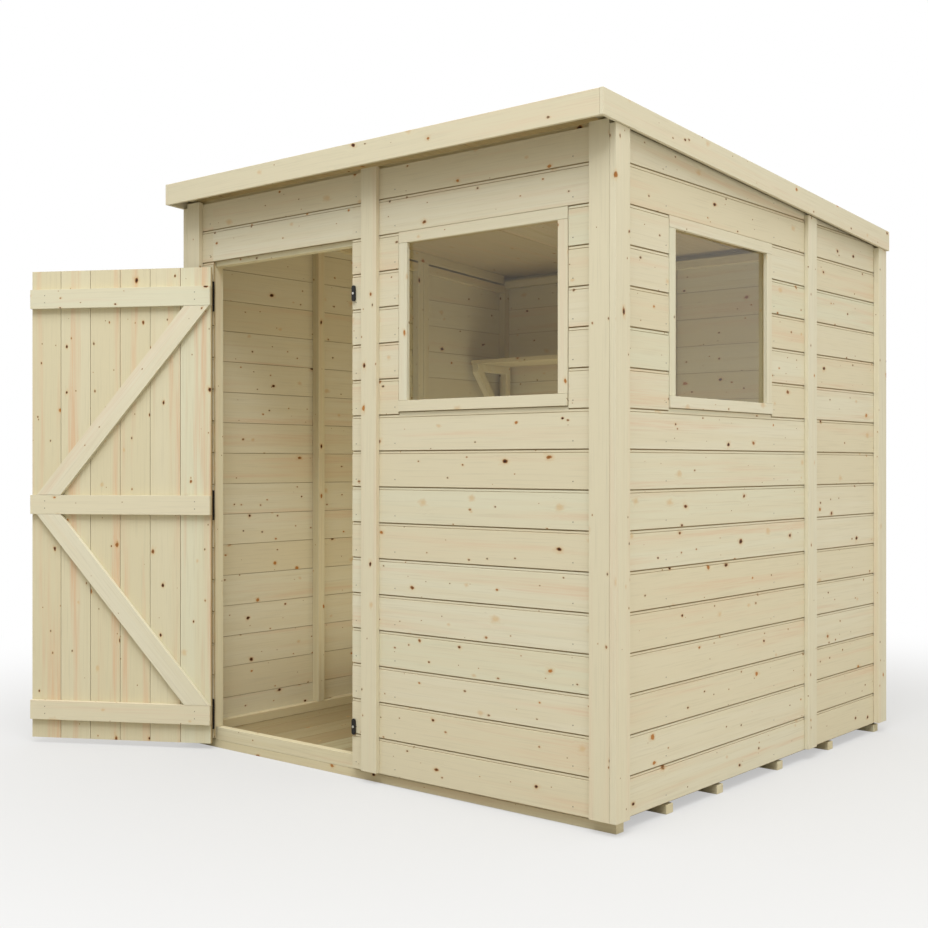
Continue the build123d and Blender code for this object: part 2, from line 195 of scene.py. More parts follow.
# Bearers: six planed softwood battens across the shed, which carry the floor.
# They are sawn to length, with their long edges eased. Their wood is the first of
# several softwoods, which all have their knots and growth lines from one recipe.
arris = 0.0007
arris_segments = 2
seam = 0.0004
merge_distance = 0.00001
flat_angle = 0.5
smooth_angle = 20
grain_reach = 30.0
knots_along = 6.0
knots_across = 9.0
sound_share = 0.72
knot_least = 0.026
knot_most = 0.062
pin_scale = 1.9
pin_share_of_knots = 0.5
pin_least = 0.022
pin_most = 0.06
fine_stretch = (0.9, 26.0, 26.0)
band_stretch = (0.16, 5.0, 5.0)
heart_stretch = (0.12, 2.0, 2.0)
rough_scale = 9.0
line_darkness = 0.8
line_relief = -0.4
relief_depth = 0.0006
sawn_and_shade_share = 0.8
green_wood = colour(202, 204, 170)
knot_halo = colour(204, 166, 108)
knot_pale = colour(178, 120, 60)
knot_deep = colour(122, 72, 32)
knot_dark = colour(48, 26, 18)
pin_pale = colour(150, 98, 48)
pin_dark = colour(58, 36, 22)
# Darker brown for the tongues, the grooves and the foot of the fine groove under the rebate. It is partly
# the sawn wood's own colour and partly painted shade in the joints.
sawn_and_shade_wood = colour(156, 130, 84)
dice = random.Random(11)


def noise(tree, place, scale=1.0, detail=4.0):
    """Noise at a place, from 0 to 1."""
    inputs = {"Vector": place, "Scale": scale, "Detail": detail}
    return add(tree, "ShaderNodeTexNoise", inputs).outputs["Fac"]


def stretched(tree, place, scale):
    """A place stretched by its own scale on each axis."""
    return add(tree, "ShaderNodeMapping", {"Vector": place, "Scale": scale}).outputs[0]


def softwood(name, pale, mellow, rosy, knot_share=0.6, heart_share=0.3):
    """Planed softwood: growth lines along the grain, brown knots of all sizes, rosy heart in places."""
    material = bpy.data.materials.new(name)
    material.use_nodes = True
    tree = material.node_tree
    shader = tree.nodes["Principled BSDF"]
    shader.inputs["Specular IOR Level"].default_value = 0.25
    grain = add(tree, "ShaderNodeAttribute", attribute_name="grain").outputs["Vector"]
    tone = add(tree, "ShaderNodeAttribute", attribute_name="tone").outputs["Fac"]
    sawn_and_shade = add(tree, "ShaderNodeAttribute", attribute_name="sawn_and_shade").outputs["Fac"]
    run, across, through = add(tree, "ShaderNodeSeparateXYZ", {0: grain}).outputs
    girth = figure(tree, "ADD", across, through)
    cell_run = figure(tree, "MULTIPLY", run, knots_along)
    cell_girth = figure(tree, "MULTIPLY", girth, knots_across)
    face_place = add(tree, "ShaderNodeCombineXYZ", {0: cell_run, 1: cell_girth}).outputs[0]
    along = stretched(tree, grain, (knots_along, knots_across, knots_across))
    rough = noise(tree, along, rough_scale, 3.0)
    rough = fade(tree, rough, low=0.25, high=0.75, start=0.66, end=1.36)

    # large knots, some of them only a halo
    cells = {"Vector": face_place, "Scale": 1.0}
    knots = add(tree, "ShaderNodeTexVoronoi", cells, voronoi_dimensions="2D")
    dealt = add(tree, "ShaderNodeSeparateColor", {0: knots.outputs["Color"]}).outputs
    there = figure(tree, "LESS_THAN", dealt[0], knot_share)
    sound = figure(tree, "LESS_THAN", dealt[0], knot_share * sound_share)
    size = figure(tree, "POWER", dealt[1], 1.3)
    size = fade(tree, size, low=0.0, high=1.0, start=knot_least, end=knot_most)
    share = figure(tree, "MULTIPLY", knots.outputs["Distance"], rough)
    share = figure(tree, "DIVIDE", share, size)
    body = fade(tree, share, low=0.65, high=1.1, start=1.0, end=0.0)
    body = figure(tree, "MULTIPLY", body, sound)
    dark = fade(tree, share, low=0.25, high=0.85, start=1.0, end=0.0)
    dark = figure(tree, "MULTIPLY", dark, sound)
    dark = figure(tree, "MULTIPLY", dark, fade(tree, dealt[2], low=0.35, high=0.65))
    halo = fade(tree, share, low=0.3, high=2.4, start=0.5, end=0.0)
    halo = figure(tree, "MULTIPLY", halo, there)

    # small knots between them
    pin_cells = {"Vector": face_place, "Scale": pin_scale}
    pins = add(tree, "ShaderNodeTexVoronoi", pin_cells, voronoi_dimensions="2D")
    pin_dealt = add(tree, "ShaderNodeSeparateColor", {0: pins.outputs["Color"]}).outputs
    pin_there = figure(tree, "LESS_THAN", pin_dealt[0], knot_share * pin_share_of_knots)
    pin_size = figure(tree, "POWER", pin_dealt[1], 2.0)
    pin_size = fade(tree, pin_size, low=0.0, high=1.0, start=pin_least, end=pin_most)
    pin_share = figure(tree, "MULTIPLY", pins.outputs["Distance"], rough)
    pin_share = figure(tree, "DIVIDE", pin_share, pin_size)
    pin = fade(tree, pin_share, low=0.5, high=1.15, start=0.9, end=0.0)
    pin = figure(tree, "MULTIPLY", pin, pin_there)
    pin_halo = fade(tree, pin_share, low=0.9, high=2.2, start=0.3, end=0.0)
    pin_halo = figure(tree, "MULTIPLY", pin_halo, pin_there)

    # growth lines, which bend round the large knots
    off = {0: face_place, 1: knots.outputs["Position"]}
    off = add(tree, "ShaderNodeVectorMath", off, operation="SUBTRACT").outputs[0]
    pull = fade(tree, share, low=0.0, high=5.0, start=-0.75, end=0.0)
    pull = figure(tree, "MULTIPLY", pull, there)
    off = {0: off, "Scale": pull}
    off = add(tree, "ShaderNodeVectorMath", off, operation="SCALE").outputs[0]
    bent = add(tree, "ShaderNodeVectorMath", {0: along, 1: off}, operation="ADD").outputs[0]
    fine = noise(tree, stretched(tree, bent, fine_stretch))
    bands = noise(tree, stretched(tree, bent, band_stretch), detail=3.0)
    heart = noise(tree, stretched(tree, along, heart_stretch))
    heart = fade(tree, heart, low=0.52, high=0.7)
    heart = figure(tree, "MULTIPLY", heart, fade(tree, fine, low=0.32, high=0.6, start=0.35, end=1.0))

    # the colours, laid one over the other
    streak = [part * line_darkness for part in mellow[:3]] + [1.0]
    knot = blend(tree, dealt[2], knot_pale, knot_deep)
    pin_wood = blend(tree, pin_dealt[2], pin_pale, pin_dark)
    wood = blend(tree, fade(tree, tone, low=0.2, high=0.8), pale, mellow)
    wood = blend(tree, fade(tree, tone, low=0.0, high=0.25, start=0.3, end=0.0), wood, green_wood)
    wood = blend(tree, fade(tree, bands, low=0.38, high=0.66, start=0.0, end=0.6), wood, mellow)
    wood = blend(tree, fade(tree, fine, low=0.48, high=0.78, start=0.0, end=0.38), wood, streak)
    wood = blend(tree, figure(tree, "MULTIPLY", heart, heart_share), wood, rosy)
    wood = blend(tree, figure(tree, "MAXIMUM", halo, pin_halo), wood, knot_halo)
    wood = blend(tree, body, wood, knot)
    wood = blend(tree, dark, wood, knot_dark)
    wood = blend(tree, pin, wood, pin_wood)
    # Points marked in the joints take the darker brown. This is the unplaned wood's own colour and also
    # painted shade in the joints.
    wood = blend(tree, figure(tree, "MULTIPLY", sawn_and_shade, sawn_and_shade_share), wood, sawn_and_shade_wood)
    tree.links.new(wood, shader.inputs["Base Color"])
    dullness = fade(tree, fine, low=0.3, high=0.8, start=0.55, end=0.72)
    tree.links.new(dullness, shader.inputs["Roughness"])
    relief = figure(tree, "SUBTRACT", figure(tree, "MULTIPLY", fine, line_relief), body)
    bump = {"Height": relief, "Strength": 0.35, "Distance": relief_depth}
    bump = add(tree, "ShaderNodeBump", bump)
    tree.links.new(bump.outputs[0], shader.inputs["Normal"])
    return material


def lay_grain(timber, start_to_end=None):
    """Give each point its place along, across and through its own tree, and the timber its tone.

    The grain runs along the longest edge, and from start to end where that way is given.
    """
    mesh = timber.data
    ends = [[mesh.vertices[index].co for index in edge.vertices] for edge in mesh.edges]
    longest = max((second - first for first, second in ends), key=lambda run: round(run.length, 5))
    along = longest.normalized()
    if start_to_end is not None and along.dot(start_to_end) < 0:
        along.negate()
    widest = max(mesh.polygons, key=lambda face: round(face.area, 7))
    through = widest.normal.copy()
    across = through.cross(along).normalized()
    shift = Vector([dice.uniform(0.0, grain_reach) for _ in range(3)])
    tone = dice.random()
    places = []
    for vertex in mesh.vertices:
        place = Vector((vertex.co.dot(along), vertex.co.dot(across), vertex.co.dot(through)))
        places += list(place + shift)
    grain = mesh.attributes.new("grain", "FLOAT_VECTOR", "POINT")
    grain.data.foreach_set("vector", places)
    shade = mesh.attributes.new("tone", "FLOAT", "POINT")
    shade.data.foreach_set("value", [tone] * len(mesh.vertices))


def only(*objects):
    """Select these objects and nothing else."""
    bpy.ops.object.select_all(action="DESELECT")
    for thing in objects:
        thing.select_set(True)
    bpy.context.view_layer.objects.active = objects[0]


def finish_piece(name, parts, material, slot, body, *nodes):
    """Join the parts to one piece with its finish and its body, which stands for its CAD nodes."""
    only(*parts)
    if len(parts) > 1:
        bpy.ops.object.join()
    piece = bpy.context.view_layer.objects.active
    bpy.ops.object.transform_apply(location=True, rotation=True, scale=True)
    piece.name = name
    piece.data.name = name
    piece.data.materials.clear()
    piece.data.materials.append(material)
    bpy.ops.object.shade_smooth_by_angle(angle=math.radians(smooth_angle))
    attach(piece, body)
    if nodes:
        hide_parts(*nodes)
    return piece


def box_place(solid):
    """Where a solid's box lies, to put solids in a fixed order."""
    return [round(sum(corner[axis] for corner in solid.bound_box), 4) for axis in range(3)]


def frame_solids(*nodes):
    """Copies of the CAD nodes' solids, merged, flat faces whole, each an object of its own."""
    solids = []
    for node in nodes:
        copy = bpy.data.objects.new(node + "_copy", frame["nodes"][node].data.copy())
        bpy.context.scene.collection.objects.link(copy)
        only(copy)
        bpy.ops.object.mode_set(mode="EDIT")
        bpy.ops.mesh.select_all(action="SELECT")
        bpy.ops.mesh.remove_doubles(threshold=merge_distance)
        bpy.ops.mesh.dissolve_limited(angle_limit=math.radians(flat_angle))
        bpy.ops.mesh.separate(type="LOOSE")
        bpy.ops.object.mode_set(mode="OBJECT")
        solids += bpy.context.selected_objects
    solids.sort(key=box_place)
    return solids


def ease(timber, width=arris, segments=arris_segments, slack=seam):
    """Take a hair off a timber all round, which leaves a seam beside it, and round its edges."""
    only(timber)
    bpy.ops.object.mode_set(mode="EDIT")
    bpy.ops.mesh.select_all(action="SELECT")
    bpy.ops.transform.shrink_fatten(value=-slack, use_even_offset=True)
    bpy.ops.mesh.bevel(offset=width, segments=segments, affect="EDGES")
    bpy.ops.object.mode_set(mode="OBJECT")


def timbers(name, material, slot, body, *nodes):
    """The timbers of some CAD nodes with eased edges, each with its own grain."""
    solids = frame_solids(*nodes)
    for solid in solids:
        ease(solid)
        lay_grain(solid)
    return finish_piece(name, solids, material, slot, body, *nodes)


framing = softwood("framing_wood", colour(216, 207, 176), colour(209, 196, 158), colour(214, 178, 142))
timbers("bearers", framing, "frame_wood", "shed", "floor_bearers")


# Floor: tongued boards laid from front to back over the bearers, with a thin dark line where two boards
# meet. Their wood is coloured darker than the other timbers, as painted shade for the inside of the shed.
floor_pitch = 0.122
floor_line = 0.0012
# The floor wood's colours are darker than the framing's, as painted shade for the inside of the shed.
floor_wood = softwood("floor_wood", colour(158, 144, 108), colour(150, 133, 96), colour(154, 122, 88))


def straight_board(low, high):
    """One plain board between two corners, with eased edges."""
    middle = [(first + second) / 2 for first, second in zip(low, high)]
    size = [second - first for first, second in zip(low, high)]
    bpy.ops.object.select_all(action="DESELECT")
    bpy.ops.mesh.primitive_cube_add(size=1, location=middle, scale=size)
    board = bpy.context.object
    bpy.ops.object.transform_apply(location=True, rotation=True, scale=True)
    ease(board)
    lay_grain(board)
    return board


floor_low, floor_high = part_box("floor_boards")
floor_parts = []
floor_edge = floor_low.x
while floor_edge < floor_high.x - floor_line:
    floor_next = min(floor_edge + floor_pitch, floor_high.x)
    low = (floor_edge, floor_low.y, floor_low.z)
    high = (floor_next - floor_line, floor_high.y, floor_high.z)
    floor_parts.append(straight_board(low, high))
    floor_edge = floor_next
finish_piece("floor_planks", floor_parts, floor_wood, "floor_wood", "shed", "floor_boards")


# Wall frames: planed battens 34 mm square, posts and rails, nailed together.
timbers("front_wall_posts", framing, "frame_wood", "shed", "front_posts")
timbers("front_wall_rails", framing, "frame_wood", "shed", "front_rails")
timbers("left_wall_posts", framing, "frame_wood", "shed", "left_posts")
timbers("left_wall_rails", framing, "frame_wood", "shed", "left_rails")
timbers("right_wall_posts", framing, "frame_wood", "shed", "right_posts")
timbers("right_wall_rails", framing, "frame_wood", "shed", "right_rails")
timbers("back_wall_posts", framing, "frame_wood", "shed", "back_posts")
timbers("back_wall_rails", framing, "frame_wood", "shed", "back_rails")


# Cladding: shiplap boards, tongued along the top and grooved along the foot. The
# face is rebated at the top, with a fine groove under the rebate, so that each joint
# shows one strong line and one thin one. Nails hold the boards to the posts.
board_thick = 0.012
board_pitch = 0.114
board_first = 0.036
rebate_deep = 0.0014
rebate_tall = 0.0082
nick_deep = 0.0022
nick_wide = 0.0026
joint_open = 0.0036
tongue_thick = 0.0025
tongue_back = 0.0042
tongue_tall = 0.0075
groove_slack = 0.0004
hair = 0.00001
face_round = 0.0008
end_gap = 0.0018
top_gap = 0.007
corner_reach = 0.001
least_board = 0.002
nail_rise = 0.022
nail_head = 0.0018
nail_proud = 0.0003
nail_grain = 700.0
nail_pale = colour(150, 142, 124)
nail_dark = colour(92, 84, 70)
cladding = softwood(
    "cladding_wood", colour(219, 212, 187), colour(215, 205, 175), colour(216, 182, 148), 0.74, 0.45
)


def shiplap(pitch, name):
    """One metre of board with its foot at z 0 and its face at -y, drawn as a section and pulled out."""
    face = -board_thick
    rebate = face + rebate_deep
    tongue_front = -tongue_back - tongue_thick
    shoulder = pitch - joint_open
    section = [
        (0.0, -joint_open / 2),
        (-tongue_back + groove_slack, -joint_open / 2),
        (-tongue_back + groove_slack, tongue_tall),
        (tongue_front - groove_slack, tongue_tall),
        (tongue_front - groove_slack, 0.0),
        (face + face_round, 0.0),
        (face, face_round),
        (face, shoulder - rebate_tall),
        (rebate + nick_deep, shoulder - rebate_tall + nick_wide / 2),
        (rebate, shoulder - rebate_tall + nick_wide),
        (rebate, shoulder),
        (tongue_front, shoulder),
        (tongue_front, pitch + tongue_tall - groove_slack),
        (-tongue_back, pitch + tongue_tall - groove_slack),
        (-tongue_back, shoulder),
        (0.0, shoulder),
    ]
    bpy.ops.object.select_all(action="DESELECT")
    bpy.ops.mesh.primitive_plane_add(size=board_thick, location=(0, 0, 0))
    board = bpy.context.object
    board.name = name
    bpy.ops.object.mode_set(mode="EDIT")
    bpy.ops.mesh.merge(type="CENTER")
    before = (0.0, 0.0)
    for number, corner in enumerate(section):
        step = (0.0, corner[0] - before[0], corner[1] - before[1])
        if number:
            bpy.ops.mesh.extrude_vertices_move(TRANSFORM_OT_translate={"value": step})
        else:
            bpy.ops.transform.translate(value=step)
        before = corner
    bpy.ops.mesh.select_all(action="SELECT")
    bpy.ops.mesh.edge_face_add()
    bpy.ops.mesh.extrude_region_move(TRANSFORM_OT_translate={"value": (1, 0, 0)})
    bpy.ops.mesh.select_all(action="SELECT")
    bpy.ops.mesh.normals_make_consistent(inside=False)
    bpy.ops.object.mode_set(mode="OBJECT")
    # Points of the tongue, the groove and the fine groove's foot are marked for the darker brown, which
    # is partly painted shade in each joint.
    sawn_and_shade_front = rebate + nick_deep - hair
    sawn_and_shade_back = groove_slack - tongue_back + hair
    rough = [float(sawn_and_shade_front < vertex.co.y < sawn_and_shade_back) for vertex in board.data.vertices]
    sawn_and_shade = board.data.attributes.new("sawn_and_shade", "FLOAT", "POINT")
    sawn_and_shade.data.foreach_set("value", rough)
    return board


def cut_top(timber, point, normal):
    """Saw a timber off above a plane."""
    only(timber)
    bpy.ops.object.mode_set(mode="EDIT")
    bpy.ops.mesh.select_all(action="SELECT")
    bpy.ops.mesh.bisect(plane_co=point, plane_no=normal, clear_outer=True, use_fill=True)
    bpy.ops.object.mode_set(mode="OBJECT")


def cut_sides(timber, left, right):
    """Saw a timber off left and right, square to the x axis."""
    only(timber)
    bpy.ops.object.mode_set(mode="EDIT")
    bpy.ops.mesh.select_all(action="SELECT")
    bpy.ops.mesh.bisect(plane_co=(left, 0, 0), plane_no=(1, 0, 0), clear_inner=True, use_fill=True)
    bpy.ops.mesh.select_all(action="SELECT")
    bpy.ops.mesh.bisect(plane_co=(right, 0, 0), plane_no=(1, 0, 0), clear_outer=True, use_fill=True)
    bpy.ops.object.mode_set(mode="OBJECT")


def board_copy(pattern, start, end, matrix):
    """A copy of the pattern board from start to end along its length, put in place by the matrix."""
    board = bpy.data.objects.new("board", pattern.data.copy())
    bpy.context.scene.collection.objects.link(board)
    length = Matrix.Scale(end - start, 4, (1, 0, 0))
    board.data.transform(matrix @ Matrix.Translation((start, 0, 0)) @ length)
    return board


def clad(name, node, turn, posts, hole=None):
    """Board one panel of a wall, course by course, round the window frame in the hole, and nail it."""
    spin = Matrix.Rotation(math.radians(turn), 4, "Z")
    run = spin @ Vector((1, 0, 0))
    out = spin @ Vector((0, -1, 0))
    corners = [vertex.co for vertex in frame["nodes"][node].data.vertices]
    left = min(corner.dot(run) for corner in corners)
    right = max(corner.dot(run) for corner in corners)
    back = min(corner.dot(out) for corner in corners)
    foot = min(corner.z for corner in corners)
    top_left = max(corner.z for corner in corners if corner.dot(run) < left + corner_reach)
    top_right = max(corner.z for corner in corners if corner.dot(run) > right - corner_reach)
    fall = (top_right - top_left) / (right - left)
    roof_line = (Vector((0, 0, 1)) - run * fall).normalized()
    roof_point = run * left + out * back + Vector((0, 0, top_left - top_gap))
    gaps = []
    if hole:
        ends = [corner.dot(run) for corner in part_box(hole)]
        gaps = [(min(ends) - end_gap, max(ends) + end_gap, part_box(hole)[0].z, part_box(hole)[1].z)]
    lines = []
    for post in wall_posts[posts]:
        reaches = [Vector(corner).dot(run) for corner in post.bound_box]
        lines.append(sum(reaches) / len(reaches))
    boards = []
    course = round((foot - board_first) / board_pitch)
    while board_first + course * board_pitch < max(top_left, top_right) - least_board:
        height = board_first + course * board_pitch
        middle = height + board_pitch / 2
        spans = [(left, right)]
        for gap_left, gap_right, gap_foot, gap_top in gaps:
            if gap_foot < middle < gap_top:
                spans = [(left, gap_left), (gap_right, right)]
        for start, end in spans:
            matrix = Matrix.Translation(out * back + Vector((0, 0, height))) @ spin
            board = board_copy(shiplap_pattern, start, end, matrix)
            if height + board_pitch + tongue_tall > min(top_left, top_right):
                cut_top(board, roof_point, roof_line)
            lay_grain(board)
            boards.append(board)
            nail_out = out * (back + board_thick) + Vector((0, 0, height + nail_rise))
            for line in lines:
                if start < line < end:
                    nail_spots.append((run * line + nail_out, out))
        course += 1
    return finish_piece(name, boards, cladding, "cladding_wood", "shed", node)


nail_spots = []
wall_posts = {}
for node in ("front_posts", "right_posts", "back_posts", "left_posts"):
    wall_posts[node] = frame_solids(node)
shiplap_pattern = shiplap(board_pitch, "shiplap_pattern")
clad("front_boards_left", "front_cladding_left", 0, "front_posts")
clad("front_boards_over_door", "front_cladding_over_door", 0, "front_posts")
clad("front_boards_right", "front_cladding_right", 0, "front_posts", "front_window_frame")
clad("right_boards_front", "right_cladding_front", 90, "right_posts", "side_window_frame")
clad("right_boards_back", "right_cladding_back", 90, "right_posts")
clad("back_boards_right", "back_cladding_right", 180, "back_posts")
clad("back_boards_left", "back_cladding_left", 180, "back_posts")
clad("left_boards_back", "left_cladding_back", -90, "left_posts")
clad("left_boards_front", "left_cladding_front", -90, "left_posts")
for posts in wall_posts.values():
    for post in posts:
        bpy.data.objects.remove(post)


def metal(name, sheen, grain, dark, pale, smooth, dull):
    """A metal with fine grains: its colour goes from dark to pale, its roughness from smooth to dull."""
    material = bpy.data.materials.new(name)
    material.use_nodes = True
    tree = material.node_tree
    shader = tree.nodes["Principled BSDF"]
    shader.inputs["Metallic"].default_value = sheen
    place = add(tree, "ShaderNodeTexCoord").outputs["Object"]
    grains = noise(tree, place, grain, 2.0)
    tree.links.new(blend(tree, grains, dark, pale), shader.inputs["Base Color"])
    roughness = fade(tree, grains, low=0.3, high=0.7, start=smooth, end=dull)
    tree.links.new(roughness, shader.inputs["Roughness"])
    return material


def heads(name, spots, radius, proud, material, slot, body, dome=0.0):
    """Round heads of nails or screws, each at its spot and facing out; a domed one narrows to its top."""
    sides = 12
    bpy.ops.object.select_all(action="DESELECT")
    bpy.ops.mesh.primitive_cone_add(
        vertices=sides, radius1=radius, radius2=radius - dome, depth=2 * proud
    )
    pattern = bpy.context.object
    parts = []
    for spot, out in spots:
        head = bpy.data.objects.new("head", pattern.data.copy())
        bpy.context.scene.collection.objects.link(head)
        facing = out.to_track_quat("Z", "Y").to_matrix().to_4x4()
        head.data.transform(Matrix.Translation(spot) @ facing)
        parts.append(head)
    bpy.data.objects.remove(pattern)
    return finish_piece(name, parts, material, slot, body)


nail_steel = metal("nail_steel", 0.5, nail_grain, nail_dark, nail_pale, 0.4, 0.6)
heads("cladding_nails", nail_spots, nail_head, nail_proud, nail_steel, "screw_steel", "shed")


# Corner boards and the strips over the panel joints: planed boards nailed
# upright over the ends of the cladding.
trim = softwood(
    "trim_wood", colour(219, 213, 189), colour(216, 207, 178), colour(219, 190, 160), 0.66
)
timbers("corner_boards_front", trim, "trim_wood", "shed", "front_corner_boards")
timbers("corner_boards_side", trim, "trim_wood", "shed", "side_corner_boards")
timbers("corner_boards_back", trim, "trim_wood", "shed", "back_corner_boards")
timbers("joint_strips", trim, "trim_wood", "shed", "panel_joint_strips")


# Windows: flat frames of planed board, a head and a projecting sill with two
# stiles between them, and one clear pane set back in each.
stile_width = 0.035
sill_proud = 0.003
packing_foot = 0.0115
packing_gap = 0.0016
pane_tint = (0.93, 0.945, 0.935, 1.0)
pane_shine = (1.0, 1.0, 1.0, 1.0)
pane_roughness = 0.02
pane_ior = 1.45
glass = bpy.data.materials.new("window_glass")
glass.use_nodes = True
glass_tree = glass.node_tree
pane_clear = add(glass_tree, "ShaderNodeBsdfTransparent", {"Color": pane_tint})
pane_gloss = {"Color": pane_shine, "Roughness": pane_roughness}
pane_gloss = add(glass_tree, "ShaderNodeBsdfGlossy", pane_gloss)
pane_edge = add(glass_tree, "ShaderNodeFresnel", {"IOR": pane_ior}).outputs[0]
pane_inner = add(glass_tree, "ShaderNodeNewGeometry").outputs["Backfacing"]
pane_outer = figure(glass_tree, "SUBTRACT", 1.0, pane_inner)
pane_edge = figure(glass_tree, "MULTIPLY", pane_edge, pane_outer)
pane_layers = {0: pane_edge, 1: pane_clear.outputs[0], 2: pane_gloss.outputs[0]}
pane = add(glass_tree, "ShaderNodeMixShader", pane_layers)
glass_tree.links.new(pane.outputs[0], glass_tree.nodes["Material Output"].inputs["Surface"])


def window(name, frame_node, sill_node, glass_node, side_axis, wall_face):
    """A window: head, sill and two stiles from its CAD box, and its pane.

    side_axis runs along the wall. A packing strip closes the slot under the sill.
    """
    low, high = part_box(frame_node)
    members = []
    for start, end, foot, top in (
        (low[side_axis], high[side_axis], high.z - stile_width, high.z),
        (low[side_axis], low[side_axis] + stile_width, low.z + stile_width, high.z - stile_width),
        (high[side_axis] - stile_width, high[side_axis], low.z + stile_width, high.z - stile_width),
    ):
        first = low.copy()
        second = high.copy()
        first[side_axis] = start
        second[side_axis] = end
        first.z = foot
        second.z = top
        members.append(straight_board(first, second))
    finish_piece(name + "_members", members, trim, "trim_wood", "shed", frame_node)
    sill_low = low.copy()
    sill_high = high.copy()
    sill_high.z = low.z + stile_width
    packing_low = low.copy()
    packing_high = high.copy()
    packing_low.z = low.z - packing_foot
    packing_high.z = low.z - packing_gap
    if side_axis == 0:
        sill_low.y -= sill_proud
        packing_low.y = wall_face + rebate_deep
        packing_high.y = wall_face + board_thick
    else:
        sill_high.x += sill_proud
        packing_low.x = wall_face - board_thick
        packing_high.x = wall_face - rebate_deep
    sill = straight_board(sill_low, sill_high)
    packing = straight_board(packing_low, packing_high)
    finish_piece(name + "_sill_board", [sill, packing], trim, "trim_wood", "shed", sill_node)
    pane_node = frame["nodes"][glass_node]
    pane_node.data.materials.clear()
    pane_node.data.materials.append(glass)


front_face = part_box("front_cladding_right")[0].y
side_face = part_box("right_cladding_front")[1].x
window("front_window", "front_window_frame", "front_window_sill", "front_window_glass", 0, front_face)
window("side_window", "side_window_frame", "side_window_sill", "side_window_glass", 1, side_face)


# Roof: flat sheets across battens, falling to the back, with a fascia board on
# each side.
sheet_gap = 0.003
sheet_count = 3
sheet_segments = 1
sheeting = softwood(
    "roof_sheeting", colour(222, 212, 182), colour(188, 171, 132), colour(204, 172, 134), 0.3, 0.4
)
timbers("roof_bearers", framing, "frame_wood", "shed", "roof_battens")
deck_low, deck_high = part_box("roof_boards")
deck_left = deck_low.x
deck_right = deck_high.x
sheet_width = (deck_right - deck_left) / sheet_count
sheets = []
for number in range(sheet_count):
    sheet = frame_solids("roof_boards")[0]
    sheet_left = deck_left + number * sheet_width + sheet_gap / 2
    sheet_right = deck_left + (number + 1) * sheet_width - sheet_gap / 2
    cut_sides(sheet, sheet_left, sheet_right)
    ease(sheet, arris, sheet_segments)
    lay_grain(sheet)
    sheets.append(sheet)
finish_piece("roof_sheets", sheets, sheeting, "roof_wood", "shed", "roof_boards")
timbers("fascia_front", trim, "trim_wood", "shed", "front_fascia")
timbers("fascia_back", trim, "trim_wood", "shed", "back_fascia")
timbers("fascia_left", trim, "trim_wood", "shed", "left_fascia")
timbers("fascia_right", trim, "trim_wood", "shed", "right_fascia")


# Roof felt: two strips of mineral felt laid across the fall, the upper one lapped
# over the lower and nailed along the lap and the edges.
felt_lap = 0.08
felt_thick = 0.001
upper_length = 1.0
edge_reach = 0.01
strip_columns = 24
strip_rows = 16
chip_scale = 520.0
chip_dark = colour(58, 62, 60)
chip_pale = colour(104, 108, 104)
cloud_scale = 3.0
cloud_tone = colour(72, 78, 74)
chip_relief = 0.0008
clout_pitch = 0.075
clout_radius = 0.004
clout_inset = 0.016
clout_high = 0.0006
zinc_grain = 900.0
zinc_dark = colour(196, 196, 192)
zinc_pale = colour(224, 224, 220)
felt = bpy.data.materials.new("mineral_felt")
felt.use_nodes = True
felt_tree = felt.node_tree
felt_shader = felt_tree.nodes["Principled BSDF"]
felt_shader.inputs["Roughness"].default_value = 0.92
felt_shader.inputs["Specular IOR Level"].default_value = 0.2
felt_place = add(felt_tree, "ShaderNodeTexCoord").outputs["Object"]
chips = add(felt_tree, "ShaderNodeTexVoronoi", {"Vector": felt_place, "Scale": chip_scale})
chip_tone = add(felt_tree, "ShaderNodeSeparateColor", {0: chips.outputs["Color"]}).outputs[0]
cloud = noise(felt_tree, felt_place, cloud_scale, 5.0)
cloud = fade(felt_tree, cloud, low=0.35, high=0.7, start=0.0, end=0.4)
felt_colour = blend(felt_tree, chip_tone, chip_dark, chip_pale)
felt_colour = blend(felt_tree, cloud, felt_colour, cloud_tone)
felt_tree.links.new(felt_colour, felt_shader.inputs["Base Color"])
felt_bump = {"Height": chip_tone, "Strength": 0.6, "Distance": chip_relief}
felt_bump = add(felt_tree, "ShaderNodeBump", felt_bump)
felt_tree.links.new(felt_bump.outputs[0], felt_shader.inputs["Normal"])
zinc = metal("zinc_screws", 1.0, zinc_grain, zinc_dark, zinc_pale, 0.25, 0.45)
felt_solid = frame_solids("roof_felt")[0]
felt_corners = [vertex.co.copy() for vertex in felt_solid.data.vertices]
felt_front = min(corner.y for corner in felt_corners)
felt_back = max(corner.y for corner in felt_corners)
felt_top_front = max(corner.z for corner in felt_corners if corner.y < felt_front + edge_reach)
felt_top_back = max(corner.z for corner in felt_corners if corner.y > felt_back - edge_reach)
felt_fall = (felt_top_front - felt_top_back) / (felt_back - felt_front)
bpy.data.objects.remove(felt_solid)


def felt_strip(start, end, lift):
    """One strip of felt from start to end down the fall, lifted off the sheets where it laps."""
    bpy.ops.object.select_all(action="DESELECT")
    bpy.ops.mesh.primitive_grid_add(x_subdivisions=strip_columns, y_subdivisions=strip_rows, size=1)
    strip = bpy.context.object
    for vertex in strip.data.vertices:
        x = deck_left + (vertex.co.x + 0.5) * (deck_right - deck_left)
        y = start + (vertex.co.y + 0.5) * (end - start)
        drop = (y - felt_front) * felt_fall
        vertex.co = (x, y, felt_top_front - drop - 2 * felt_thick + lift)
    solid = strip.modifiers.new("thick", "SOLIDIFY")
    solid.thickness = felt_thick
    solid.offset = 1.0
    only(strip)
    bpy.ops.object.modifier_apply(modifier="thick")
    return strip


